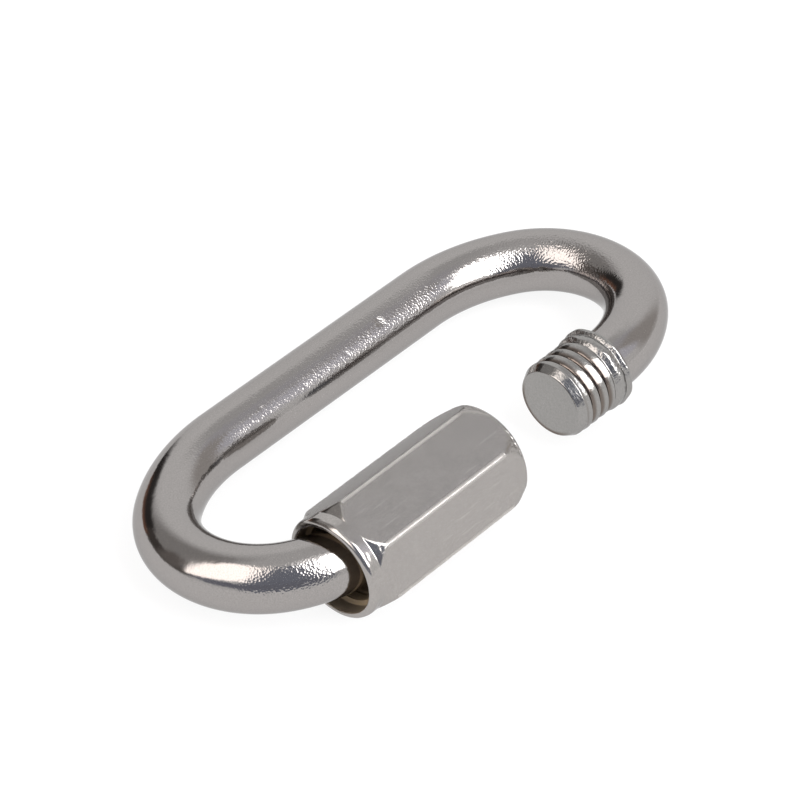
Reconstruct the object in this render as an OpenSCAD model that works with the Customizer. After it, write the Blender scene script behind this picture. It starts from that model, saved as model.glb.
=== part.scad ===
// Chain quick link: a bent round rod with two threaded ends and a long hexagon sleeve nut.
// It lies as it comes to rest, open: on the back rod and on the lowest edge of the nut.
// X runs along the link towards the bare threaded end, Y towards the back rod, Z up.
// The origin is the middle of the link's box, on the surface that it lies on.

/* [Link] */
// Diameter of the round rod
rod_d = 8; // [6.5:0.25:8.5]
// Overall length of the link
link_length = 80; // [76:1:110]
// Clear width between the back rod and the front arms
inner_width = 19.4; // [18.4:0.2:24]
// Bend radius from the back rod into each bow, on the rod's centre line
back_shoulder_r = 22; // [20:0.5:25]
// Bend radius from each bow into its front arm, on the rod's centre line
front_shoulder_r = 16; // [14.5:0.5:18]

/* [Threaded ends] */
// Outer diameter of the thread on both arms
thread_d = 10; // [9.6:0.1:10.2]
// Chamfer at the tip of each threaded arm
tip_chamfer = 0.6; // [0.3:0.05:0.9]
// Length of that chamfer along the arm
tip_chamfer_length = 1.15; // [0.3:0.05:1.5]
// Length of the bare threaded end, from its face to the back of its collar
stud_length = 9.15; // [8:0.05:12]
// Diameter of the collar where that thread runs out
collar_d = 10.7; // [10.3:0.1:11.4]
// Width of that collar
collar_w = 1.9; // [0.8:0.1:2.4]
// Chamfer on the back edge of that collar
collar_chamfer = 0.3; // [0.1:0.05:0.5]
// Distance from the start of the bend to the back of that collar
collar_setback = 1.5; // [0.5:0.1:3]
// Length of the thread on the arm that carries the nut
arm_thread_length = 18; // [16:0.5:19]
// Depth of that arm's tip inside the open end of the nut
tip_recess = 0.5; // [0:0.1:1]

/* [Sleeve nut] */
// Width of the nut across its flats
nut_af = 13; // [12.8:0.1:15]
// Length of the nut
nut_length = 26.9; // [25:0.2:29]
// How far the top flat of the nut leans to the front
nut_turn = 17; // [0:1:30]
// How far the round ends lie below the middle of each flat, negative where the flats run out through them
end_relief = -0.1; // [-0.3:0.01:0.3]
// Length of the round end at the counterbored rim
rim_end_w = 1.9; // [1.5:0.1:4]
// Length of the round end at the open mouth of the link
mouth_end_w = 0.6; // [0.5:0.1:3]
// Length over which each corner of the hexagon is turned down to the round end at the rim
corner_taper = 1.8; // [0.8:0.1:2.5]
// Length over which each corner is turned down to the round end at the open mouth
mouth_taper = 3.3; // [0.8:0.1:3.5]
// Rounding of the outer edge at the counterbored rim
rim_round = 0.75; // [0.3:0.05:0.8]
// Rounding of the outer edge at the open mouth
rim_chamfer = 0.4; // [0.1:0.05:0.4]
// Diameter of the counterbore that clears the bend
counterbore_d = 11.4; // [10.9:0.1:11.9]
// Bevel where that counterbore meets the rim
rim_bevel = 0.1; // [0.1:0.05:0.55]
// Depth of that counterbore
counterbore_depth = 1.75; // [1.5:0.25:6]
// Chamfer at the far mouth of the bore
bore_chamfer = 0.5; // [0.2:0.05:0.8]

/* [Clearances] */
// Gap between the thread and the nut's bore, on the radius
thread_gap = 0.1; // [0.05:0.05:0.3]
// Gap between the counterbore and the bend when the nut is run right back
bend_gap = 0.05; // [0.05:0.05:0.4]

/* [Hidden] */
$fn = 96;
eps = 0.01;

// Each bow is a shoulder, a tip arc and a second shoulder, tangent to each other.
// A shoulder turns through the angle of a 3-4-5 triangle, which keeps the joints exact.
shoulder_cos = 0.8;
shoulder_sin = 0.6;
rod_r = rod_d / 2;
axis_gap = inner_width + rod_d;
tip_r = (axis_gap - (back_shoulder_r + front_shoulder_r) * (1 - shoulder_cos)) / (2 * shoulder_cos);
bow_reach = back_shoulder_r * shoulder_sin + tip_r * (1 - shoulder_sin);
back_half = link_length / 2 - rod_r - bow_reach;
front_half = back_half + (back_shoulder_r - front_shoulder_r) * shoulder_sin;
tip_x = back_half + (back_shoulder_r - tip_r) * shoulder_sin;
tip_y = axis_gap - back_shoulder_r + (back_shoulder_r - tip_r) * shoulder_cos;

// The bare threaded end
collar_back_x = front_half - collar_setback;
stud_x = collar_back_x - stud_length;

// The nut, run back until its counterbore meets the inside of the bend
counterbore_r = counterbore_d / 2;
bore_d = thread_d + 2 * thread_gap;
rim_past_bend = rim_bevel + sqrt(pow(front_shoulder_r - rod_r, 2)
    - pow(front_shoulder_r - counterbore_r + bend_gap, 2));
nut_x = -front_half - rim_past_bend;
corner_r = nut_af / 2 / cos(30);
end_r = nut_af / 2 - end_relief;

// The ball that the corners are turned to passes a round end and, a taper further in, the corners.
// This is how far past the taper its middle lies.
function ball_in(taper) = (pow(corner_r + eps, 2) - pow(end_r, 2) - pow(taper, 2)) / (2 * taper);

// The arm that carries the nut
arm_tip_x = nut_x + nut_length - tip_recess;
run_out = thread_d / 2 - rod_r;

// How the link lies: the nut's lowest edge holds the front axis up, so the link leans back
nut_drop = corner_r * cos(30 - nut_turn);
nut_reach = corner_r * cos(nut_turn);
rest_tilt = asin((nut_drop - rod_r) / axis_gap);
link_depth = nut_reach + axis_gap * cos(rest_tilt) + rod_r;
front_y = -link_depth / 2 + nut_reach;

// Moves by whole millimetres and then by the rest, so that the joints between bends stay exact
module place(v) {
    whole = [for (c = v) round(c)];
    translate(whole) translate(v - whole) children();
}

// A turned length along +X, from its points as distance along it and radius
module turned(points) {
    rotate([0, 90, 0]) rotate_extrude() polygon([for (p = points) [p[1], p[0]]]);
}

// One bend of the rod in the link's plane, between two directions seen from its centre
module bend(r, from, to) {
    far = 2 * (r + rod_d);
    intersection() {
        rotate_extrude() place([r, 0]) circle(d = rod_d);
        linear_extrude(2 * rod_d, center = true)
            polygon([[0, 0], far * from, far * (from + to), far * to]);
    }
}

// One bow at the +X end, from the back rod round to the front arm
module bow() {
    upper = [shoulder_sin, shoulder_cos];
    lower = [shoulder_sin, -shoulder_cos];
    place([back_half, axis_gap - back_shoulder_r]) bend(back_shoulder_r, upper, [0, 1]);
    place([tip_x, tip_y]) bend(tip_r, lower, upper);
    place([front_half, front_shoulder_r]) bend(front_shoulder_r, [0, -1], lower);
}

// The bare threaded end: chamfered face, thread, collar and the plain neck behind it
module stud() {
    collar_x = stud_length - collar_w;
    place([stud_x, 0]) turned([
        [0, 0],
        [0, thread_d / 2 - tip_chamfer],
        [tip_chamfer_length, thread_d / 2],
        [collar_x, thread_d / 2],
        [collar_x, collar_d / 2],
        [stud_length - collar_chamfer, collar_d / 2],
        [stud_length, collar_d / 2 - collar_chamfer],
        [stud_length, rod_r],
        [stud_length + collar_setback, rod_r],
        [stud_length + collar_setback, 0]
    ]);
}

// The arm that carries the nut: plain neck, thread run-out, thread and chamfered tip
module nut_arm() {
    arm_length = arm_tip_x + front_half;
    thread_x = arm_length - arm_thread_length;
    place([-front_half, 0]) turned([
        [0, 0],
        [0, rod_r],
        [thread_x - run_out, rod_r],
        [thread_x, thread_d / 2],
        [arm_length - tip_chamfer_length, thread_d / 2],
        [arm_length, thread_d / 2 - tip_chamfer],
        [arm_length, 0]
    ]);
}

// The rod in the link's own plane, with the front axis on the X axis
module flat_rod() {
    place([-back_half, axis_gap]) rotate([0, 90, 0]) cylinder(d = rod_d, h = 2 * back_half);
    bow();
    mirror([1, 0, 0]) bow();
    stud();
    nut_arm();
}

module bent_rod() {
    color("#B9B6B2")
        translate([0, front_y, nut_drop]) rotate([-rest_tilt, 0, 0]) flat_rod();
}

// What is turned off one end of the hexagon bar: all that lies outside the round end and the ball.
// The outer edge is rounded with two facets.
module end_turning(end_w, taper, edge) {
    taper_z = end_w + taper;
    ball_z = taper_z + ball_in(taper);
    ball_r = sqrt(pow(corner_r + eps, 2) + pow(ball_in(taper), 2));
    difference() {
        translate([0, 0, -eps]) cylinder(r = corner_r + edge, h = taper_z + eps);
        rotate_extrude() polygon([
            [0, -2 * eps],
            [end_r - edge - 5 * eps, -2 * eps],
            [end_r - edge * (1 - cos(45)), edge * (1 - cos(45))],
            [end_r, edge],
            [end_r, taper_z - taper / 2],
            [0, taper_z - taper / 2]
        ]);
        translate([0, 0, ball_z]) sphere(r = ball_r);
    }
}

// The nut along +Z from its counterbored rim, with one flat facing +X
module upright_nut() {
    difference() {
        rotate(30) cylinder(r = corner_r, h = nut_length, $fn = 6);
        end_turning(rim_end_w, corner_taper, rim_round);
        translate([0, 0, nut_length]) mirror([0, 0, 1]) end_turning(mouth_end_w, mouth_taper, rim_chamfer);
        translate([0, 0, -eps]) cylinder(d = bore_d, h = nut_length + 2 * eps);
        translate([0, 0, -eps]) cylinder(d = counterbore_d, h = counterbore_depth + eps);
        translate([0, 0, -eps])
            cylinder(d1 = counterbore_d + 2 * (rim_bevel + eps), d2 = counterbore_d, h = rim_bevel + eps);
        translate([0, 0, nut_length - bore_chamfer])
            cylinder(d1 = bore_d, d2 = bore_d + 2 * (bore_chamfer + eps), h = bore_chamfer + eps);
    }
}

module sleeve_nut() {
    color("#ABA8A4")
        translate([nut_x, front_y, nut_drop])
            rotate([nut_turn, 0, 0]) rotate([0, 90, 0]) rotate(180) upright_nut();
}

bent_rod();
sleeve_nut();
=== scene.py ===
"""Looks of a chain quick link in stainless steel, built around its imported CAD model.

The link is one round rod, bent to an oval with a gap in its front side and threaded at both ends.
A long hexagon sleeve nut runs on the thread of one arm and closes the gap.
Lengths are metres, in the frame of the CAD model. Directions in the studio are in degrees:
azimuth 0 is the front of the link, 90 its bare threaded end, and elevation is above the floor.
"""

import math

import bpy
import numpy as np
from bpy.props import FloatProperty, FloatVectorProperty, PointerProperty, StringProperty
from mathutils import Matrix, Vector


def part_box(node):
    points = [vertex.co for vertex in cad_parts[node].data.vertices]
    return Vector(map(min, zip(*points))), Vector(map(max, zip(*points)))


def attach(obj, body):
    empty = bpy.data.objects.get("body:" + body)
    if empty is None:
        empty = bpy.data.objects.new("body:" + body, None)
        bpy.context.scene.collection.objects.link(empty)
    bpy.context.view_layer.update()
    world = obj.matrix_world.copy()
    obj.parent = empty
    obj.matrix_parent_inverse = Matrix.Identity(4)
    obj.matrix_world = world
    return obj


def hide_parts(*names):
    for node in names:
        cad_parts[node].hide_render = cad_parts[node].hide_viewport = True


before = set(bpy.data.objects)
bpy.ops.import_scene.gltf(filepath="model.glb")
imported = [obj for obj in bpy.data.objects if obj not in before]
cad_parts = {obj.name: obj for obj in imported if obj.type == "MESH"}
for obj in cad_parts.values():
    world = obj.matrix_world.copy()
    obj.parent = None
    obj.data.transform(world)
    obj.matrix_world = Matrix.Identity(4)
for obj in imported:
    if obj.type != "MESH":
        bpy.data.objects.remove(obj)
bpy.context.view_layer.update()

bl_info = {
    "name": "Chain Quick Link",
    "version": (1, 0, 0),
    "blender": (4, 5, 0),
    "location": "3D View > Sidebar > Quick Link",
    "description": "Builds a stainless quick link with its sleeve nut, and the studio that it is shown in",
    "category": "Object",
}

MM = 0.001
NUT_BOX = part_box("sleeve_nut")
ROD_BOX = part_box("bent_rod")
# The nut's hexagon is the same from both sides, so the middle of its box lies on the front axis
FRONT_AXIS = (NUT_BOX[0] + NUT_BOX[1]) / 2


def length(name, description, default):
    """One size of a piece, in metres."""
    return FloatProperty(name=name, description=description, default=default, unit="LENGTH", precision=5)


def angle(name, description, default):
    """One angle, given in degrees and kept in radians."""
    return FloatProperty(name=name, description=description, default=math.radians(default), subtype="ANGLE")


def colour(name, description, default):
    """One colour, as an sRGB hex value."""
    return StringProperty(name=name, description=description, default=default)


class RodSizes(bpy.types.PropertyGroup):
    """Sizes of the bent rod and its two threaded ends."""

    rod_d: length("Rod diameter", "Diameter of the round rod", 8 * MM)
    inner_width: length("Inner width", "Clear width between the back rod and the front arms", 19.4 * MM)
    back_shoulder_r: length("Back shoulder", "Bend radius from the back rod into each bow", 22 * MM)
    front_shoulder_r: length("Front shoulder", "Bend radius from each bow into its front arm", 16 * MM)
    thread_d: length("Thread diameter", "Outer diameter of the thread on both arms", 10 * MM)
    pitch: length("Thread pitch", "Distance from one turn of the thread to the next", 1.5 * MM)
    crest_rise: length("Crest rise", "Rise of each worn crest from the tip's side to the other", 0.36 * MM)
    groove_depth: length("Groove depth", "Depth of the rolled groove below the low side of a crest", 0.2 * MM)
    groove_half: length("Groove half width", "Half of the groove's width", 0.27 * MM)
    tip_chamfer: length("Tip chamfer", "Chamfer at the tip of each threaded arm", 0.6 * MM)
    tip_chamfer_length: length("Tip chamfer length", "Length of that chamfer along the arm", 1.15 * MM)
    stud_length: length("Stud length", "Bare threaded end, from its face to its collar's back", 9.15 * MM)
    stud_thread: length("Stud thread", "Length of full thread on the bare end", 6.2 * MM)
    collar_d: length("Collar diameter", "Diameter of the collar where the thread runs out", 10.7 * MM)
    collar_setback: length("Collar setback", "From the start of the bend to the collar", 1.5 * MM)
    arm_thread: length("Arm thread", "Length of the thread on the arm that carries the nut", 18 * MM)
    tip_recess: length("Tip recess", "Depth of that arm's tip inside the nut", 0.5 * MM)


class NutSizes(bpy.types.PropertyGroup):
    """Sizes of the hexagon sleeve nut."""

    across_flats: length("Across flats", "Width of the hexagon", 13 * MM)
    turn: angle("Turn", "How far the top flat leans to the front", 17)
    edge_r: length("Edge radius", "Rounding of the hexagon's long edges", 0.22 * MM)
    end_d: length("End diameter", "Diameter of the round ends", 13.2 * MM)
    rim_end_w: length("Rim end", "Length of the round end at the counterbored rim", 1.9 * MM)
    mouth_end_w: length("Mouth end", "Length of the round end at the link's gap", 0.6 * MM)
    corner_taper: length("Corner taper", "Length of the taper on each corner at the rim", 1.8 * MM)
    mouth_taper: length("Mouth taper", "Length of the taper on each corner at the link's gap", 3.3 * MM)
    rim_round: length("Rim round", "Rounding of the outer edge at the counterbored rim", 0.75 * MM)
    rim_chamfer: length("Mouth round", "Rounding of the outer edge at the link's gap", 0.4 * MM)
    rim_bevel: length("Rim bevel", "Bevel where the counterbore meets the rim", 0.1 * MM)
    counterbore_d: length("Counterbore", "Diameter of the counterbore that clears the bend", 11.4 * MM)
    counterbore_depth: length("Counterbore depth", "Depth of that counterbore", 1.75 * MM)
    bore_d: length("Bore", "Inner diameter of the nut's thread", 10.2 * MM)
    bore_chamfer: length("Bore chamfer", "Chamfer at the far mouth of the bore", 0.5 * MM)


class SteelColours(bpy.types.PropertyGroup):
    """Colours of the steel, as sRGB hex values."""

    rod: colour("Rod", "Tumbled steel of the rod", "#9F9B99")
    # Dirt and painted shade in the thread's grooves, and a painted shade line at the bare end's face
    grime_and_shade: colour("Grime_and_shade", "Grime in the grooves of the thread", "#6B615A")
    rolled: colour("Rolled", "Rolled thread, collar and cut face of the rod", "#989694")
    flats: colour("Flats", "Drawn steel of the nut", "#A6A29F")
    bore: colour("Bore", "Steel inside the nut, browned by cutting oil", "#9C8A70")


class StudioSettings(bpy.types.PropertyGroup):
    """Where the camera stands."""

    azimuth: angle("Azimuth", "Direction of the camera, from the front of the link", -47.93)
    elevation: angle("Elevation", "Height of the camera above the floor, as an angle", 41.42)
    distance: length("Distance", "Distance of the camera from the middle of the link", 397.65 * MM)
    aside: FloatVectorProperty(
        name="Aside", description="How far the camera stands to the right and up from that line", size=2,
        default=(-1.79 * MM, 5.93 * MM), unit="LENGTH", precision=5)
    lens: FloatProperty(
        name="Lens", description="Focal length in millimetres on a 36 mm sensor", unit="CAMERA",
        default=147.77)


# Helpers that every piece uses


def linear(hex_code):
    """A colour for a shader, from its sRGB hex value."""
    srgb = np.array([int(hex_code[i:i + 2], 16) for i in (1, 3, 5)]) / 255
    rgb = np.where(srgb <= 0.04045, srgb / 12.92, ((srgb + 0.055) / 1.055) ** 2.4)
    return (*rgb.tolist(), 1.0)


def smooth_step(low, high, x):
    """0 below low, 1 above high, and 3t^2 - 2t^3 between them."""
    t = np.clip((x - low) / (high - low), 0, 1)
    return t * t * (3 - 2 * t)


def hump(corners, x):
    """0 that rises to 1 between the first two of four corners, and falls to 0 between the last two."""
    start, full, still_full, end = corners
    return smooth_step(start, full, x) * smooth_step(end, still_full, x)


def softened(corners, fillet, step):
    """An outline through the corners, with each corner rounded and each side cut into short steps.

    A corner gives way to a parabola that starts and ends a fillet's length away from it, or less on a
    short side. The fillets and steps are one number, or one for each corner and side.
    """
    corners = np.asarray(corners, float)
    fillet = np.broadcast_to(fillet, len(corners))
    step = np.broadcast_to(step, len(corners) - 1)
    side = np.diff(corners, axis=0)
    run = np.linalg.norm(side, axis=1)
    ahead = side / run[:, None]
    cut = np.zeros(len(corners))
    cut[1:-1] = np.minimum(fillet[1:-1], 0.45 * np.minimum(run[:-1], run[1:]))
    t = np.linspace(0, 1, 6)[:, None]
    pieces = []
    for k in range(len(side)):
        start = corners[k] + cut[k] * ahead[k]
        end = corners[k + 1] - cut[k + 1] * ahead[k]
        count = max(1, math.ceil(np.linalg.norm(end - start) / step[k]))
        pieces.append(start + (end - start) * np.linspace(0, 1, count + 1)[:, None])
        if cut[k + 1] > 0:
            after = corners[k + 1] + cut[k + 1] * ahead[k + 1]
            arc = (1 - t) ** 2 * end + 2 * t * (1 - t) * corners[k + 1] + t ** 2 * after
            pieces.append(arc[1:-1])
    line = np.concatenate(pieces)
    return line[np.linalg.norm(np.diff(line, axis=0, prepend=line[:1] - 1), axis=1) > 1e-9]


def thread_form(x, turn, pitch, half):
    """Two shares of a right-hand thread: the groove, and how far its crest lies below its high side.

    The groove winds once round the front axis in one pitch, with the turn counted from the front over
    the top. At a share s of its half width the groove is (1 - s^2)^2. Past a share p of the way to the
    next groove, the crest lies (1 - p)^2 below its high side, so that it is rounded over towards the tip.
    A slow wander keeps the turns from being all alike.
    """
    wander = 0.02 * np.sin(2 * turn + 1) + 0.015 * np.sin(5 * turn + 2)
    past = x / pitch + turn / math.tau - 0.72 + wander
    past = past - np.floor(past)
    off = np.minimum(past, 1 - past) * pitch / half
    return np.clip(1 - off ** 2, 0, None) ** 2, (1 - past) ** 2


def grid_piece(name, points, material, body, node, values, ring=False):
    """A closed piece from a grid of points: rows follow an outline, and columns go once round.

    Rows join to the next row and columns wrap round. Where ring is set, the last row joins the first.
    Otherwise the first and last rows are closed with a fan to their middle.
    """
    rows, columns = points.shape[:2]
    column = np.arange(columns)
    after = np.roll(column, -1)
    row = np.arange(rows if ring else rows - 1)[:, None]
    below = (row + 1) % rows
    quads = np.stack([row * columns + column, row * columns + after,
                      below * columns + after, below * columns + column], -1).reshape(-1, 4)
    vertices = points.reshape(-1, 3)
    faces = quads.tolist()
    if not ring:
        first, last = len(vertices), len(vertices) + 1
        vertices = np.concatenate([vertices, points[[0]].mean(1), points[[-1]].mean(1)])
        top = (rows - 1) * columns
        faces += np.stack([after, column, np.full(columns, first)], -1).tolist()
        faces += np.stack([top + column, top + after, np.full(columns, last)], -1).tolist()
    mesh = bpy.data.meshes.new(name)
    mesh.from_pydata(vertices, [], faces)
    for label, value in values.items():
        flat = np.concatenate([value.ravel(), np.zeros(len(vertices) - value.size)])
        mesh.attributes.new(label, "FLOAT", "POINT").data.foreach_set("value", flat.astype(np.float32))
    mesh.shade_smooth()
    mesh.materials.append(material)
    piece = bpy.data.objects.new(name, mesh)
    bpy.context.scene.collection.objects.link(piece)
    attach(piece, body)
    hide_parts(node)
    return piece


def add_node(tree, kind, inputs=None, **settings):
    """Adds one node. Each input takes a value, or an output socket of another node to link from."""
    node = tree.nodes.new(kind)
    for key, value in settings.items():
        setattr(node, key, value)
    for key, value in (inputs or {}).items():
        if isinstance(value, bpy.types.NodeSocket):
            tree.links.new(value, node.inputs[key])
        else:
            node.inputs[key].default_value = value
    return node


def new_material(name):
    """An empty node material and its output node."""
    material = bpy.data.materials.new(name)
    material.use_nodes = True
    material.node_tree.nodes.clear()
    return material, material.node_tree, add_node(material.node_tree, "ShaderNodeOutputMaterial")


# Shape of the bent rod

# Nicks in the rod, in millimetres and degrees: distance along it from the arm's tip, angle round it,
# half length, half width, depth
NICKS = np.array([
    (93.8, 124, 0.75, 1.00, 0.14),
    (88.0, 109, 0.36, 0.36, 0.045),
    (87.0, 138, 0.34, 0.60, 0.05),
    (72.4, 126, 0.36, 0.45, 0.05),
    (79.5, 141, 0.36, 0.40, 0.04),
    (109.5, 179, 0.35, 0.35, 0.04),
    (116.5, -146, 0.30, 0.40, 0.04),
    (38.0, 62, 0.25, 0.30, 0.03),
])

# Pebbling on the upper side of the rod: millimetres along it from the arm's tip, and strength
PEBBLES = np.array([
    (38, 0.0), (42, 0.2), (56, 0.25), (62, 0.45), (74, 0.6), (84, 0.75), (92, 1.0), (98, 1.5), (103, 1.5),
    (106, 0.4), (111, 0.4), (114.5, 1.5), (121, 1.6), (126, 1.3), (131, 1.0), (140, 0.0),
])

# Run-out of the bare thread: distance from the end face, and radius past the thread's, in millimetres
RUN_OUT = np.array([
    (9.15, 0.05), (9.03, 0.31), (8.72, 0.34), (8.5, 0.2), (8.3, -0.02), (8.05, 0.1), (7.6, 0.2), (7.2, 0.16),
    (6.88, -0.08), (6.66, -0.26), (6.48, -0.26), (6.25, 0.0),
])

# Marks on the rod, each as the four corners of a hump.
# Pebbling on the bend by the nut, and a dull stretch, in millimetres from the arm's tip
BEND_PEBBLES = (25.5, 28, 33.5, 37)
DULL = (62, 96, 99, 104)
# Rings of the run-out, in millimetres from the bare end's face
RINGS = (6.2, 6.9, 8.7, 9.1)
# Pebbled upper side, in degrees round the rod
UPPER_SIDE = (76, 98, 149, 160)

# Columns round the rod
ROD_COLUMNS = 116
# Radius at which each end face closes with a fan, and width of the ring of close rows at the bare face's edge
FAN_R = 0.05 * MM
FACE_RING = 0.9 * MM
# Last stretch of the plain rod before the collar, with rows of its own
NECK = 1.2 * MM


def along_path(start, heading, runs, distance):
    """Points and headings along a flat path of straights and arcs, each a length and a curvature.

    At a distance d into a run of curvature k, the point lies d sin(kd/2) / (kd/2) from the run's start,
    in the run's first heading turned by kd/2, which holds for a straight run as well.
    """
    lengths, curves = np.array(runs).T
    ends = np.cumsum(lengths)
    turned = curves * lengths
    first = heading + np.concatenate([[0], np.cumsum(turned)[:-1]])

    def chord(run, into):
        turn = curves[run] * into
        reach = into * np.sinc(turn / math.tau)
        way = first[run] + turn / 2
        return np.stack([reach * np.cos(way), reach * np.sin(way)], -1)

    every = np.arange(len(lengths))
    steps = np.cumsum(chord(every, lengths), 0)
    corner = np.asarray(start) + np.concatenate([[[0, 0]], steps[:-1]])
    run = np.clip(np.searchsorted(ends, distance), 0, len(ends) - 1)
    into = distance - (ends - lengths)[run]
    return corner[run] + chord(run, into), first[run] + curves[run] * into


def rod_runs(sizes):
    """The runs of the rod's centre line, from the arm inside the nut round to the bare threaded end.

    Each bow is a shoulder, a tip arc and a second shoulder, tangent to each other.
    A shoulder turns through the angle of a 3-4-5 triangle, so the tip's radius follows from the width.
    """
    cos, sin = 0.8, 0.6
    back_r, front_r = sizes.back_shoulder_r, sizes.front_shoulder_r
    gap = sizes.inner_width + sizes.rod_d
    tip_r = (gap - (back_r + front_r) * (1 - cos)) / (2 * cos)
    back_half = ROD_BOX[1].x - sizes.rod_d / 2 - back_r * sin - tip_r * (1 - sin)
    front_half = back_half + (back_r - front_r) * sin
    arm_tip = NUT_BOX[1].x - sizes.tip_recess
    shoulder = math.atan2(sin, cos)
    bow = [(front_r * shoulder, -1 / front_r), (tip_r * (math.pi - 2 * shoulder), -1 / tip_r),
           (back_r * shoulder, -1 / back_r)]
    stud = sizes.collar_setback + sizes.stud_length
    runs = [(arm_tip + front_half, 0), *bow, (2 * back_half, 0), *bow[::-1], (stud, 0)]
    return arm_tip, gap, runs


def rod_surface(sizes):
    """The rod as a tube round its centre line, with its radius by distance along it and angle round it.

    The angle is 0 on the outside of the oval and 90 degrees on top. The radius is the turned outline
    less the thread's groove, which fades at each run-out, and less the nicks. The run-out's rings sway
    along the rod and waver in radius, as rolled metal does. A nick at a share s of its size is
    (1 - s^2)^2 deep. The grooves are darkened with dirt and painted shade, the low side of each crest
    is darker, and a painted shade line runs along the back and lower edge of the bare end's face.
    """
    rod_r, thread_r, collar_r = sizes.rod_d / 2, sizes.thread_d / 2, sizes.collar_d / 2
    chamfer_long, pitch = sizes.tip_chamfer_length, sizes.pitch
    arm_tip, gap, runs = rod_runs(sizes)
    whole = sum(run[0] for run in runs)
    collar_back = whole - sizes.stud_length
    face_r = thread_r - sizes.tip_chamfer
    run_out = thread_r - rod_r
    arm_end = sizes.arm_thread
    ridges = np.stack([whole - RUN_OUT[:, 0] * MM, thread_r + RUN_OUT[:, 1] * MM], -1)
    corners = [
        (0, FAN_R), (0, face_r), (chamfer_long, thread_r), (arm_end, thread_r),
        (arm_end + run_out, rod_r), (collar_back - NECK, rod_r), (collar_back, rod_r), *ridges,
        (whole - chamfer_long, thread_r), (whole, face_r), (whole, face_r - FACE_RING), (whole, FAN_R)]
    # The foot of the run-out and the neck at the collar are rounded more than the other corners
    fillet = np.full(len(corners), 0.14 * MM)
    fillet[[4, 6]] = 0.5 * MM, 0.25 * MM
    # Rows lie close on the bare thread and its rings, and wider on the faces, the other arm and the rod
    step = np.full(len(corners) - 1, 0.09 * MM)
    step[[0, 2, 3, 4, 5, -1]] = np.array([1, 0.125, 0.25, 0.27, 0.33, 1]) * MM
    along, radius = softened(corners, fillet, step).T
    turn = np.linspace(0, math.tau, ROD_COLUMNS, endpoint=False)
    d, phi = along[:, None], turn[None, :]
    flat, heading = along_path((arm_tip, 0), math.pi, runs, along)

    stud_full = whole - sizes.stud_thread
    fade = np.maximum(smooth_step(arm_end + run_out, arm_end - pitch, along),
                      smooth_step(stud_full - 0.6 * pitch, stud_full + 0.2 * pitch, along))
    from_tip = np.minimum(along, whole - along)
    fade = (fade * smooth_step(0.8 * MM, 1.6 * MM, from_tip))[:, None]
    uneven = 1 + 0.12 * np.sin(3 * phi + 0.4) + 0.08 * np.sin(7 * phi + d / pitch)
    groove, low = thread_form(flat[:, :1], phi, pitch, sizes.groove_half)
    sunk = fade * (sizes.groove_depth * groove * uneven + sizes.crest_rise * low)
    wave = 0.5 * np.sin(3 * phi + 0.7) + 0.3 * np.sin(5 * phi + 2.1) + 0.4 * np.sin(11 * phi + 4)
    ringed = hump(RINGS, (whole - d) / MM)
    sway = ringed * (0.1 * np.sin(phi + 2.6) + 0.08 * wave) * MM
    swayed = np.where(ringed > 0, np.interp(d + sway, along, radius), radius[:, None])
    rim = smooth_step(thread_r, collar_r, swayed) * 0.1 * MM
    r = np.where(swayed > thread_r, swayed + rim * wave, np.minimum(swayed, thread_r - sunk))
    for place, round_it, half_long, half_wide, deep in NICKS:
        away = (phi - math.radians(round_it) + math.pi) % math.tau - math.pi
        share = ((d - place * MM) / (half_long * MM)) ** 2 + (rod_r * away / (half_wide * MM)) ** 2
        r = r - deep * MM * np.clip(1 - share, 0, None) ** 2

    outward = np.stack([-np.sin(heading), np.cos(heading)], -1)
    u = flat[:, :1] + r * np.cos(phi) * outward[:, :1]
    v = flat[:, 1:] + r * np.cos(phi) * outward[:, 1:]
    w = r * np.sin(phi)
    lean = math.asin((FRONT_AXIS.z - rod_r) / gap)
    points = np.stack([u, FRONT_AXIS.y + v * math.cos(lean) + w * math.sin(lean),
                       FRONT_AXIS.z - v * math.sin(lean) + w * math.cos(lean)], -1)

    from_arm, around = d / MM, np.degrees(phi)
    on_top = np.interp(from_arm, *PEBBLES.T) * hump(UPPER_SIDE, around)
    at_bend = hump(BEND_PEBBLES, from_arm) * smooth_step(70, 52, around)
    rolled = np.maximum(smooth_step(rod_r + 0.2 * MM, rod_r + 0.5 * MM, radius), from_tip < 0.02 * MM)
    # The grooves are darkened with dirt and painted shade, and the low side of each crest is darker
    grime_and_shade = fade * np.maximum(groove, 0.8 * smooth_step(0.18, 0.55, low)) * (swayed > r)
    # A painted shade line along the back and lower edge of the bare end's face
    painted_rim_shade = np.exp(-((radius - face_r + 0.22 * MM) / (0.2 * MM)) ** 2) * (whole - along < 0.1 * MM)
    grime_and_shade = np.maximum(grime_and_shade, painted_rim_shade[:, None] * smooth_step(0.1, 0.8, np.sin(phi - 2.5)))
    every = np.ones_like(r)
    return points, {"grime_and_shade": grime_and_shade, "rolled": rolled[:, None] * every, "ringed": ringed * every,
                    "pebbled": np.maximum(on_top, at_bend), "dulled": hump(DULL, from_arm) * every}


# Shape of the sleeve nut

# Distance between columns on the flats
FLAT_STEP = 0.36 * MM
# Height within which the edge between a turned end and a flat is rounded
EDGE_BLEND = 0.1 * MM


def hexagon_round(across_flats, edge_r, turn):
    """Angles and radii of a hexagon with rounded corners, with its columns close together at each corner."""
    corner_r = across_flats / 2 / math.cos(math.pi / 6)
    angles = math.pi * 2 / 3 + turn + np.arange(6) * math.pi / 3
    corners = corner_r * np.stack([np.cos(angles), np.sin(angles)], -1)
    half = (corners[0] + corners[-1]) / 2
    line = softened([half, *corners, half], edge_r * math.tan(math.pi / 6), FLAT_STEP)[:-1]
    return np.arctan2(line[:, 1], line[:, 0]), np.hypot(line[:, 0], line[:, 1])


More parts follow.
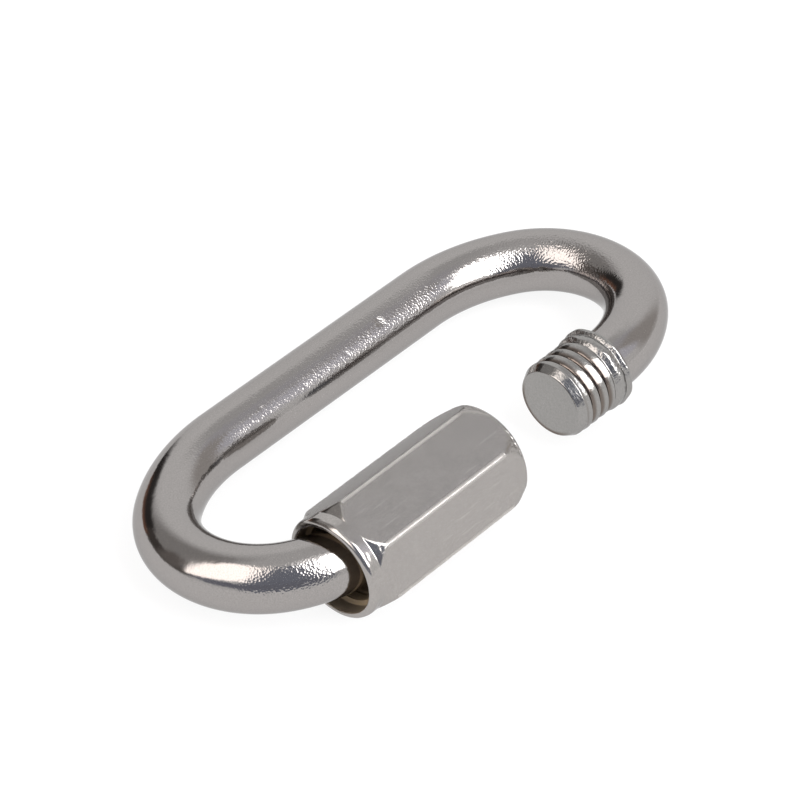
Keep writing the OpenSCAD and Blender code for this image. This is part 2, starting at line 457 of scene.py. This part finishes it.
def lower_of(a, b, blend):
    """The smaller of two radii, with the edge rounded where they are within blend of each other.

    At a share s of blend between them, it is lowered by (1 - s)^2 of a quarter of blend.
    """
    near = np.clip(1 - np.abs(a - b) / blend, 0, None)
    return np.minimum(a, b) - near ** 2 * blend / 4


def nut_surface(sizes, rod):
    """The nut as a closed outline carried round its axis: lip, outside, far face, bore, counterbore, lip.

    Outside, the radius is the smaller of the turned outline and the hexagon. Each corner is turned to a
    ball that passes its round end and, a taper further in, the full corner. The bore's thread is a
    shallow groove. Two waves of 2.3 and 0.9 mm along each long edge, cut off below, are the knocks that
    it has taken. The values mark the turned metal, the inside, the far end and the worn long edges,
    which the material also lightens as a painted highlight.
    """
    long = NUT_BOX[1].x - NUT_BOX[0].x
    corner_r = sizes.across_flats / 2 / math.cos(math.pi / 6)
    end_r, bore_r, counterbore_r = sizes.end_d / 2, sizes.bore_d / 2, sizes.counterbore_d / 2
    rim, bevel, deep, lip = sizes.rim_chamfer, sizes.rim_bevel, sizes.counterbore_depth, sizes.rim_round
    over = corner_r + 0.1 * MM
    edge = np.linspace(0, math.pi / 2, 10)
    rounding = np.stack([lip * (1 - np.cos(edge)), end_r - lip * (1 - np.sin(edge))], -1)
    near_full = sizes.rim_end_w + sizes.corner_taper
    far_full = long - sizes.mouth_end_w - sizes.mouth_taper
    corners = [
        *rounding, (sizes.rim_end_w, end_r), (near_full, over), (far_full, over),
        (long - sizes.mouth_end_w, end_r), (long - rim, end_r), (long, end_r - rim),
        (long, bore_r + sizes.bore_chamfer), (long - sizes.bore_chamfer, bore_r),
        (deep + 0.25 * MM, bore_r), (deep, counterbore_r), (bevel, counterbore_r), (0, end_r - lip)]
    fillet = np.full(len(corners), 0.1 * MM)
    fillet[:len(rounding)] = 0
    step = [0.2] * (len(rounding) - 1) + [0.1, 0.06, 0.24, 0.12, 0.1, 0.06, 0.1, 0.1, 0.12, 0.08, 0.2, 0.06]
    along, radius = softened(corners, fillet, np.array(step) * MM)[:-1].T
    outer = np.arange(len(along)) <= np.argmax(along >= long - 1e-7)
    taper = np.where(along < long / 2, sizes.corner_taper, sizes.mouth_taper)
    past = np.where(along < long / 2, near_full - along, along - far_full)
    ball_in = (corner_r ** 2 - end_r ** 2 - taper ** 2) / (2 * taper)
    ball = np.sqrt(np.clip(corner_r ** 2 + ball_in ** 2 - (ball_in + past) ** 2, 0, None))
    turned_r = np.where(outer & (past > 0) & (past < taper), ball, radius)[:, None]

    turn, hexagon = hexagon_round(sizes.across_flats, sizes.edge_r, sizes.turn)
    outside = outer[:, None]
    r = np.where(outside, lower_of(turned_r, hexagon, EDGE_BLEND), radius[:, None])
    wave = math.tau * along[:, None] / MM
    knock = np.sin(wave / 2.3 + 5 * turn) + 0.7 * np.sin(wave / 0.9 + 11 * turn) - 0.5
    at_edge = smooth_step(corner_r - 0.35 * MM, corner_r - 0.06 * MM, hexagon)
    r = r - np.where(outside, 0.035 * MM * at_edge * np.clip(knock, 0, None), 0)
    in_bore = ~outer & (radius < bore_r + 0.02 * MM)
    depth = np.where(in_bore, smooth_step(deep + 0.2 * MM, deep + 0.7 * MM, along), 0)[:, None]
    every = np.ones_like(r)
    x = NUT_BOX[0].x + along[:, None] * every
    groove = thread_form(x, math.pi - turn, rod.pitch, rod.groove_half)[0]
    r = r + 0.3 * MM * depth * groove
    points = np.stack([x, FRONT_AXIS.y + r * np.cos(turn), FRONT_AXIS.z + r * np.sin(turn)], -1)

    cut = np.where(outside, smooth_step(-0.06 * MM, 0.06 * MM, hexagon - turned_r), 1)
    inside = np.where(radius < counterbore_r - 0.05 * MM, 1.0, 0.7)
    inside = inside * (~outer & (radius < counterbore_r + 0.5 * bevel))
    inside = inside * smooth_step(long, long - 1.2 * MM, along)
    far = smooth_step(far_full - 0.5 * MM, long - sizes.mouth_end_w, along)
    # The worn long edges: the material makes them rougher and lightens their colour as a painted highlight
    worn = smooth_step(corner_r - 0.2 * MM, corner_r - 0.08 * MM, hexagon) * (1 - cut) * outside
    return points, {"turned": cut, "inside": inside[:, None] * every, "far_end": far[:, None] * every,
                    "worn": worn}


# Materials

# Steel hardly brightens towards its edges, unlike a plain metal shader
EDGE_TINT = (0.7, 0.7, 0.7, 1.0)


def tumbled_steel(colours):
    """Stainless rod, bent and then tumbled bright in small media.

    It mirrors the room in broad bands, and the fine pebbling of the tumbling breaks up the edge of each
    highlight. One stretch is rubbed duller. The rolled thread and collar are rougher and crinkled. The
    grooves are darkened with dirt and painted shade, the low side of each crest is darker, and a painted
    shade line runs along the back and lower edge of the bare end's face. The grain is finer on real
    steel, and is drawn as coarse as it needs to show.
    """
    material, tree, output = new_material("Tumbled stainless steel")
    place = add_node(tree, "ShaderNodeTexCoord").outputs["Object"]
    pebbled, rolled, ringed, grime_and_shade, dulled = [
        add_node(tree, "ShaderNodeAttribute", attribute_name=name).outputs["Fac"]
        for name in ("pebbled", "rolled", "ringed", "grime_and_shade", "dulled")]
    dent, patch, grain, crinkle = [
        add_node(tree, "ShaderNodeTexNoise", {
            "Vector": place, "Scale": 1 / (size * MM), "Detail": detail}).outputs[0]
        for size, detail in ((1.3, 1.0), (7, 2.0), (0.16, 2.0), (0.4, 2.0))]
    pebble = add_node(tree, "ShaderNodeTexVoronoi", {
        "Vector": place, "Scale": 1 / (0.25 * MM), "Smoothness": 0.4},
        feature="SMOOTH_F1").outputs["Distance"]
    pebble = add_node(tree, "ShaderNodeMath", {0: pebble, 1: pebble}, operation="MULTIPLY").outputs[0]
    strong = add_node(tree, "ShaderNodeMapRange", {
        "Value": patch, "From Min": 0.35, "From Max": 0.65, "To Min": 0.6, "To Max": 1.0})
    strong = add_node(tree, "ShaderNodeMath", {0: strong.outputs[0], 1: pebbled}, operation="MULTIPLY")
    strong = add_node(tree, "ShaderNodeMath", {0: strong.outputs[0], 1: 0.08}, operation="MAXIMUM").outputs[0]
    bump = add_node(tree, "ShaderNodeBump", {"Height": dent, "Strength": 1.0, "Distance": 0.014 * MM})
    for height, strength, high in (
            (pebble, strong, 0.032), (crinkle, rolled, 0.03), (crinkle, ringed, 0.07)):
        bump = add_node(tree, "ShaderNodeBump", {
            "Height": height, "Strength": strength, "Distance": high * MM, "Normal": bump.outputs[0]})
    # The grooves' dirt and painted shade, the darker low side of each crest and the painted shade line at the
    # face darken the steel
    shade = add_node(tree, "ShaderNodeMapRange", {"Value": grime_and_shade, "From Min": 0.02, "From Max": 0.9})
    steel = add_node(tree, "ShaderNodeMix", {
        "Factor": rolled, "A": linear(colours.rod), "B": linear(colours.rolled)}, data_type="RGBA")
    steel = add_node(tree, "ShaderNodeMix", {
        "Factor": shade.outputs[0], "A": steel.outputs["Result"], "B": linear(colours.grime_and_shade)},
        data_type="RGBA")
    tone = add_node(tree, "ShaderNodeMapRange", {
        "Value": grain, "From Min": 0.3, "From Max": 0.7, "To Min": 0.92, "To Max": 1.06})
    base = add_node(tree, "ShaderNodeMix", {
        "Factor": 1.0, "A": steel.outputs["Result"], "B": tone.outputs[0]},
        data_type="RGBA", blend_type="MULTIPLY")
    gloss = add_node(tree, "ShaderNodeMapRange", {
        "Value": patch, "From Min": 0.3, "From Max": 0.7, "To Min": 0.08, "To Max": 0.13})
    for share, rough in ((dulled, 0.15), (rolled, 0.17)):
        gloss = add_node(tree, "ShaderNodeMix", {"Factor": share, "A": gloss.outputs[0], "B": rough})
    shader = add_node(tree, "ShaderNodeBsdfPrincipled", {
        "Base Color": base.outputs["Result"], "Metallic": 1.0, "Roughness": gloss.outputs[0],
        "Specular Tint": EDGE_TINT, "Normal": bump.outputs[0]})
    tree.links.new(shader.outputs[0], output.inputs[0])
    return material


def drawn_steel(colours):
    """Stainless hexagon bar, drawn to a satin and turned bright at its ends.

    The flats blur what they mirror and carry fine scratches along the draw, with a few brighter hairs
    a little astray from it. The long edges are worn rough, and made pale as a painted highlight. The
    turned ends are sharper, pitted at the far end, and the bore is browned and dull. The scratches and
    the grain are finer on real steel, and are drawn as coarse as they need to show.
    """
    material, tree, output = new_material("Drawn stainless steel")
    place = add_node(tree, "ShaderNodeTexCoord").outputs["Object"]
    turned, inside, far_end, worn = [
        add_node(tree, "ShaderNodeAttribute", attribute_name=name).outputs["Fac"]
        for name in ("turned", "inside", "far_end", "worn")]
    drawn = add_node(tree, "ShaderNodeMapping", {"Vector": place, "Scale": (0.12, 1.0, 1.0)}).outputs[0]
    astray = add_node(tree, "ShaderNodeMapping", {
        "Vector": place, "Scale": (0.06, 1.0, 1.0), "Rotation": (0, 0.1, 0.12)}).outputs[0]
    scratch, hair, mottle, grain, pit = [
        add_node(tree, "ShaderNodeTexNoise", {
            "Vector": where, "Scale": 1 / (size * MM), "Detail": detail, "Roughness": rough}).outputs[0]
        for where, size, detail, rough in (
            (drawn, 0.3, 4.0, 0.6), (astray, 0.32, 1.0, 0.5), (place, 2.4, 5.0, 0.65),
            (place, 0.2, 2.0, 0.5), (place, 0.34, 1.5, 0.5))]
    fine = add_node(tree, "ShaderNodeBump", {"Height": scratch, "Strength": 1.0, "Distance": 0.004 * MM})
    pitted = add_node(tree, "ShaderNodeMath", {0: turned, 1: far_end}, operation="MULTIPLY")
    bump = add_node(tree, "ShaderNodeBump", {
        "Height": pit, "Strength": pitted.outputs[0], "Distance": 0.15 * MM, "Normal": fine.outputs[0]})
    gloss = add_node(tree, "ShaderNodeMapRange", {
        "Value": mottle, "From Min": 0.3, "From Max": 0.7, "To Min": 0.23, "To Max": 0.27})
    for share, rough in ((turned, 0.15), (worn, 0.45), (inside, 0.55)):
        gloss = add_node(tree, "ShaderNodeMix", {"Factor": share, "A": gloss.outputs[0], "B": rough})
    tone = 1.0
    # Mottle, grain and scratches vary the tone, and the worn long edges are lightened as a painted highlight
    for value, low, high, dark, pale in (
            (mottle, 0.25, 0.75, 0.975, 1.02), (grain, 0.3, 0.7, 0.93, 1.06),
            (hair, 0.68, 0.77, 1.0, 1.14), (worn, 0.0, 1.0, 1.0, 1.45)):
        level = add_node(tree, "ShaderNodeMapRange", {
            "Value": value, "From Min": low, "From Max": high, "To Min": dark, "To Max": pale})
        tone = add_node(tree, "ShaderNodeMath", {0: level.outputs[0], 1: tone}, operation="MULTIPLY")
        tone = tone.outputs[0]
    steel = add_node(tree, "ShaderNodeMix", {
        "Factor": inside, "A": linear(colours.flats), "B": linear(colours.bore)}, data_type="RGBA")
    base = add_node(tree, "ShaderNodeMix", {
        "Factor": 1.0, "A": steel.outputs["Result"], "B": tone}, data_type="RGBA", blend_type="MULTIPLY")
    bare = add_node(tree, "ShaderNodeMix", {"Factor": inside, "A": 1.0, "B": 0.45})
    shader = add_node(tree, "ShaderNodeBsdfPrincipled", {
        "Base Color": base.outputs["Result"], "Metallic": bare.outputs[0], "Roughness": gloss.outputs[0],
        "Specular Tint": EDGE_TINT, "Normal": bump.outputs[0]})
    tree.links.new(shader.outputs[0], output.inputs[0])
    return material


# The studio

# Radius of the light tent, and half the width of its floor
TENT_R = 2.0
# What hangs round the link, later ones in front: azimuth from, to and softness, elevation likewise,
# brightness, tint
HANGINGS = [
    (-190, 190, 1, 50, 95, 9, 0.85, "#FFFFFF"),
    (60, 132, 10, 44, 70, 8, 0.73, "#FFFFFF"),
    (54, 92, 8, 40, 64, 6, 0.74, "#F9F9FF"),
    (94, 152, 10, -10, 45, 7, 1.06, "#FFFFFF"),
    (168, 232, 16, -10, 66, 8, 0.44, "#FFFCFA"),
    (52, 84, 8, 3, 47, 6, 0.60, "#FFFAF6"),
    (34, 54, 6, 20, 52, 6, 1.0, "#F3F4FF"),
    (-72, -12, 5, -10, 74, 6, 0.42, "#E4EBFF"),
    (-134, -8, 6, 6.5, 22, 2.5, 0.36, "#E8ECFF"),
    (158, 246, 5, 2, 20, 3, 0.10, "#FFF2EA"),
    (212, 234, 5, 3, 33, 6, 0.24, "#FFF4EE"),
    (156, 191, 3, -10, 23, 4, 0.05, "#FFF4F0"),
    (164, 196, 3, -10, 6, 5, 0.30, "#FFC0A2"),
    (-40, 50, 12, 74, 84, 5, 1.70, "#FFFFFF"),
    (-11, 25, 1.5, 20, 40, 2, 8.0, "#FFFFFF"),
    (22, 33, 1.5, 30, 42, 3, 8.0, "#FFFFFF"),
    (-16, 31.5, 1.5, 36, 74, 2, 8.0, "#FFFFFF"),
    (-20, 0, 4, 58, 74, 2, 5.0, "#FFFFFF"),
    (30, 44, 3, 53, 71, 3, 6.0, "#FFFFFF"),
]
# A straight-edged lamp at the left: azimuth and elevation of its corners, and the softness of the edge
# after each
LAMP = [(-119, 9, 2.5), (-72, 33, 5), (-80, 71, 3), (-153, 66.5, 2.5)]
LAMP_LEVEL = 3.3
LAMP_TINT = "#FFF8F3"


def direction(azimuth, elevation):
    """A unit vector from two angles in degrees."""
    a, e = math.radians(azimuth), math.radians(elevation)
    return Vector((math.sin(a) * math.cos(e), -math.cos(a) * math.cos(e), math.sin(e)))


def tent_cloth():
    """Lit cloths and dark gaps of a light tent, which is what the steel mirrors.

    Each hanging shows by its share, which is a soft step in azimuth times a soft step in elevation.
    The lamp's share is a soft step past the plane through each of its edges.
    """
    material, tree, output = new_material("Tent cloth")
    place = add_node(tree, "ShaderNodeTexCoord").outputs["Object"]
    ray = add_node(tree, "ShaderNodeVectorMath", {0: place}, operation="NORMALIZE").outputs[0]
    level = add_node(tree, "ShaderNodeVectorMath", {0: place, 1: (1, 1, 0)}, operation="MULTIPLY").outputs[0]
    level = add_node(tree, "ShaderNodeVectorMath", {0: level}, operation="NORMALIZE").outputs[0]
    height = add_node(tree, "ShaderNodeSeparateXYZ", {0: ray}).outputs["Z"]
    height = add_node(tree, "ShaderNodeMath", {0: height}, operation="ARCSINE").outputs[0]
    shown = (1, 1, 1, 1)
    for left, right, soft, low, high, soft_up, bright, tint in HANGINGS:
        middle = direction((left + right) / 2, 0)
        across = add_node(tree, "ShaderNodeVectorMath", {0: level, 1: middle}, operation="DOT_PRODUCT")
        across = add_node(tree, "ShaderNodeMath", {0: across.outputs["Value"]}, operation="ARCCOSINE")
        mid_height = math.radians((low + high) / 2)
        off = add_node(tree, "ShaderNodeMath", {0: height, 1: mid_height}, operation="SUBTRACT")
        off = add_node(tree, "ShaderNodeMath", {0: off.outputs[0]}, operation="ABSOLUTE")
        share = []
        for away, half, edge in ((across, (right - left) / 2, soft), (off, (high - low) / 2, soft_up)):
            share.append(add_node(tree, "ShaderNodeMapRange", {
                "Value": away.outputs[0],
                "From Min": math.radians(half - edge), "From Max": math.radians(half + edge),
                "To Min": 1.0, "To Max": 0.0}, interpolation_type="SMOOTHSTEP").outputs[0])
        both = add_node(tree, "ShaderNodeMath", {0: share[0], 1: share[1]}, operation="MULTIPLY")
        lit = [bright * c for c in linear(tint)[:3]]
        shown = add_node(tree, "ShaderNodeMix", {"Factor": both.outputs[0], "A": shown, "B": (*lit, 1.0)},
                         data_type="RGBA").outputs["Result"]
    share = 1.0
    for k, (azimuth, elevation, soft) in enumerate(LAMP):
        next_corner = direction(*LAMP[(k + 1) % len(LAMP)][:2])
        past = direction(azimuth, elevation).cross(next_corner).normalized()
        past = add_node(tree, "ShaderNodeVectorMath", {0: ray, 1: past}, operation="DOT_PRODUCT")
        past = add_node(tree, "ShaderNodeMapRange", {
            "Value": past.outputs["Value"], "From Min": -math.radians(soft), "From Max": math.radians(soft)},
            interpolation_type="SMOOTHSTEP")
        share = add_node(tree, "ShaderNodeMath", {0: past.outputs[0], 1: share}, operation="MULTIPLY")
        share = share.outputs[0]
    lit = [LAMP_LEVEL * c for c in linear(LAMP_TINT)[:3]]
    shown = add_node(tree, "ShaderNodeMix", {"Factor": share, "A": shown, "B": (*lit, 1.0)},
                     data_type="RGBA").outputs["Result"]
    glow = add_node(tree, "ShaderNodeEmission", {"Color": shown, "Strength": 1.0})
    tree.links.new(glow.outputs[0], output.inputs[0])
    material.cycles.emission_sampling = "NONE"
    return material


def white_share(tree):
    """1 for what the camera sees, and for what metal or glass shows of it."""
    path = add_node(tree, "ShaderNodeLightPath").outputs
    seen = path["Is Camera Ray"]
    for other in ("Is Glossy Ray", "Is Transmission Ray"):
        seen = add_node(tree, "ShaderNodeMath", {0: seen, 1: path[other]}, operation="MAXIMUM").outputs[0]
    return seen


def white_floor():
    """Matt white floor. Most of what shows is its own white, and the rest takes the object's shadow."""
    material, tree, output = new_material("Matt white floor")
    matt = add_node(tree, "ShaderNodeBsdfDiffuse", {"Color": (0.78, 0.78, 0.78, 1)})
    shadow = add_node(tree, "ShaderNodeBsdfDiffuse", {"Color": (0.12, 0.12, 0.12, 1)})
    white = add_node(tree, "ShaderNodeEmission", {"Color": (1, 1, 1, 1), "Strength": 0.88})
    shown = add_node(tree, "ShaderNodeAddShader", {0: shadow.outputs[0], 1: white.outputs[0]})
    mix = add_node(tree, "ShaderNodeMixShader", {
        0: white_share(tree), 1: matt.outputs[0], 2: shown.outputs[0]})
    tree.links.new(mix.outputs[0], output.inputs[0])
    return material


def stage_piece(name, points, material):
    """A sheet of the stage from a grid of points."""
    rows, columns = points.shape[:2]
    index = np.arange(rows * columns).reshape(rows, columns)
    faces = np.stack([index[:-1, :-1], index[:-1, 1:], index[1:, 1:], index[1:, :-1]], -1).reshape(-1, 4)
    mesh = bpy.data.meshes.new(name)
    mesh.from_pydata(points.reshape(-1, 3), [], faces.tolist())
    mesh.shade_smooth()
    mesh.materials.append(material)
    piece = bpy.data.objects.new(name, mesh)
    bpy.context.scene.collection.objects.link(piece)
    return piece


# Operators


class QUICKLINK_OT_bent_rod(bpy.types.Operator):
    """Builds the bent rod with its two threaded ends"""

    bl_idname = "quicklink.bent_rod"
    bl_label = "Bent Rod"

    def execute(self, context):
        scene = context.scene
        points, values = rod_surface(scene.quicklink_rod)
        steel = tumbled_steel(scene.quicklink_steel)
        grid_piece("rod", points, steel, "link", "bent_rod", values)
        return {"FINISHED"}


class QUICKLINK_OT_sleeve_nut(bpy.types.Operator):
    """Builds the hexagon sleeve nut"""

    bl_idname = "quicklink.sleeve_nut"
    bl_label = "Sleeve Nut"

    def execute(self, context):
        scene = context.scene
        points, values = nut_surface(scene.quicklink_nut, scene.quicklink_rod)
        steel = drawn_steel(scene.quicklink_steel)
        grid_piece("nut", points, steel, "nut", "sleeve_nut", values, ring=True)
        return {"FINISHED"}


class QUICKLINK_OT_stage(bpy.types.Operator):
    """Sets up the floor, the light tent and the camera"""

    bl_idname = "quicklink.stage"
    bl_label = "Studio"

    def execute(self, context):
        scene = context.scene
        studio = scene.quicklink_studio
        scene.view_settings.view_transform = "Standard"
        world = bpy.data.worlds.new("Studio white")
        world.use_nodes = True
        tree = world.node_tree
        tree.nodes.clear()
        strength = add_node(tree, "ShaderNodeMapRange", {
            "Value": white_share(tree), "To Min": 0.6, "To Max": 1.0}).outputs[0]
        white = add_node(tree, "ShaderNodeBackground", {"Color": (1, 1, 1, 1), "Strength": strength})
        add_node(tree, "ShaderNodeOutputWorld", {"Surface": white.outputs[0]})
        scene.world = world

        side = np.linspace(-TENT_R, TENT_R, 9)
        x, y = np.meshgrid(side, side)
        stage_piece("floor", np.stack([x, y, 0 * x], -1), white_floor())
        turn, rise = np.meshgrid(np.linspace(0, math.tau, 73), np.linspace(0, math.pi / 2, 19))
        dome = TENT_R * np.stack([np.cos(turn) * np.cos(rise), np.sin(turn) * np.cos(rise), np.sin(rise)], -1)
        tent = stage_piece("tent", dome, tent_cloth())
        tent.visible_camera = False

        data = bpy.data.cameras.new("camera")
        data.sensor_width = 36
        data.lens = studio.lens
        camera = bpy.data.objects.new("camera", data)
        back = direction(math.degrees(studio.azimuth), math.degrees(studio.elevation))
        right = Vector((math.cos(studio.azimuth), math.sin(studio.azimuth), 0))
        up = back.cross(right)
        place = studio.aside[0] * right + studio.aside[1] * up + studio.distance * back
        camera.matrix_world = Matrix.Translation(place) @ Matrix((right, up, back)).transposed().to_4x4()
        scene.collection.objects.link(camera)
        scene.camera = camera
        return {"FINISHED"}


class QUICKLINK_PT_panel(bpy.types.Panel):
    """Lists the pieces and their sizes in the 3D view's sidebar"""

    bl_idname = "QUICKLINK_PT_panel"
    bl_label = "Quick Link"
    bl_space_type = "VIEW_3D"
    bl_region_type = "UI"
    bl_category = "Quick Link"

    def draw(self, context):
        for name, group, operator in GROUPS:
            if operator:
                self.layout.operator(operator)
            settings = getattr(context.scene, name)
            for key in group.__annotations__:
                self.layout.prop(settings, key)


# Each group of settings, and the operator that the panel lists above it
GROUPS = [
    ("quicklink_rod", RodSizes, QUICKLINK_OT_bent_rod.bl_idname),
    ("quicklink_nut", NutSizes, QUICKLINK_OT_sleeve_nut.bl_idname),
    ("quicklink_steel", SteelColours, None),
    ("quicklink_studio", StudioSettings, QUICKLINK_OT_stage.bl_idname),
]
CLASSES = [
    RodSizes, NutSizes, SteelColours, StudioSettings,
    QUICKLINK_OT_bent_rod, QUICKLINK_OT_sleeve_nut, QUICKLINK_OT_stage, QUICKLINK_PT_panel,
]


def register():
    """Registers the classes and keeps each group of settings on the scene."""
    for cls in CLASSES:
        bpy.utils.register_class(cls)
    for name, group, _ in GROUPS:
        setattr(bpy.types.Scene, name, PointerProperty(type=group))


def unregister():
    """Takes the settings and the classes away again."""
    for name, _, _ in GROUPS:
        delattr(bpy.types.Scene, name)
    for cls in reversed(CLASSES):
        bpy.utils.unregister_class(cls)


def main():
    """Builds the link and its studio."""
    register()
    bpy.ops.quicklink.bent_rod()
    bpy.ops.quicklink.sleeve_nut()
    bpy.ops.quicklink.stage()


if __name__ == "__main__":
    main()
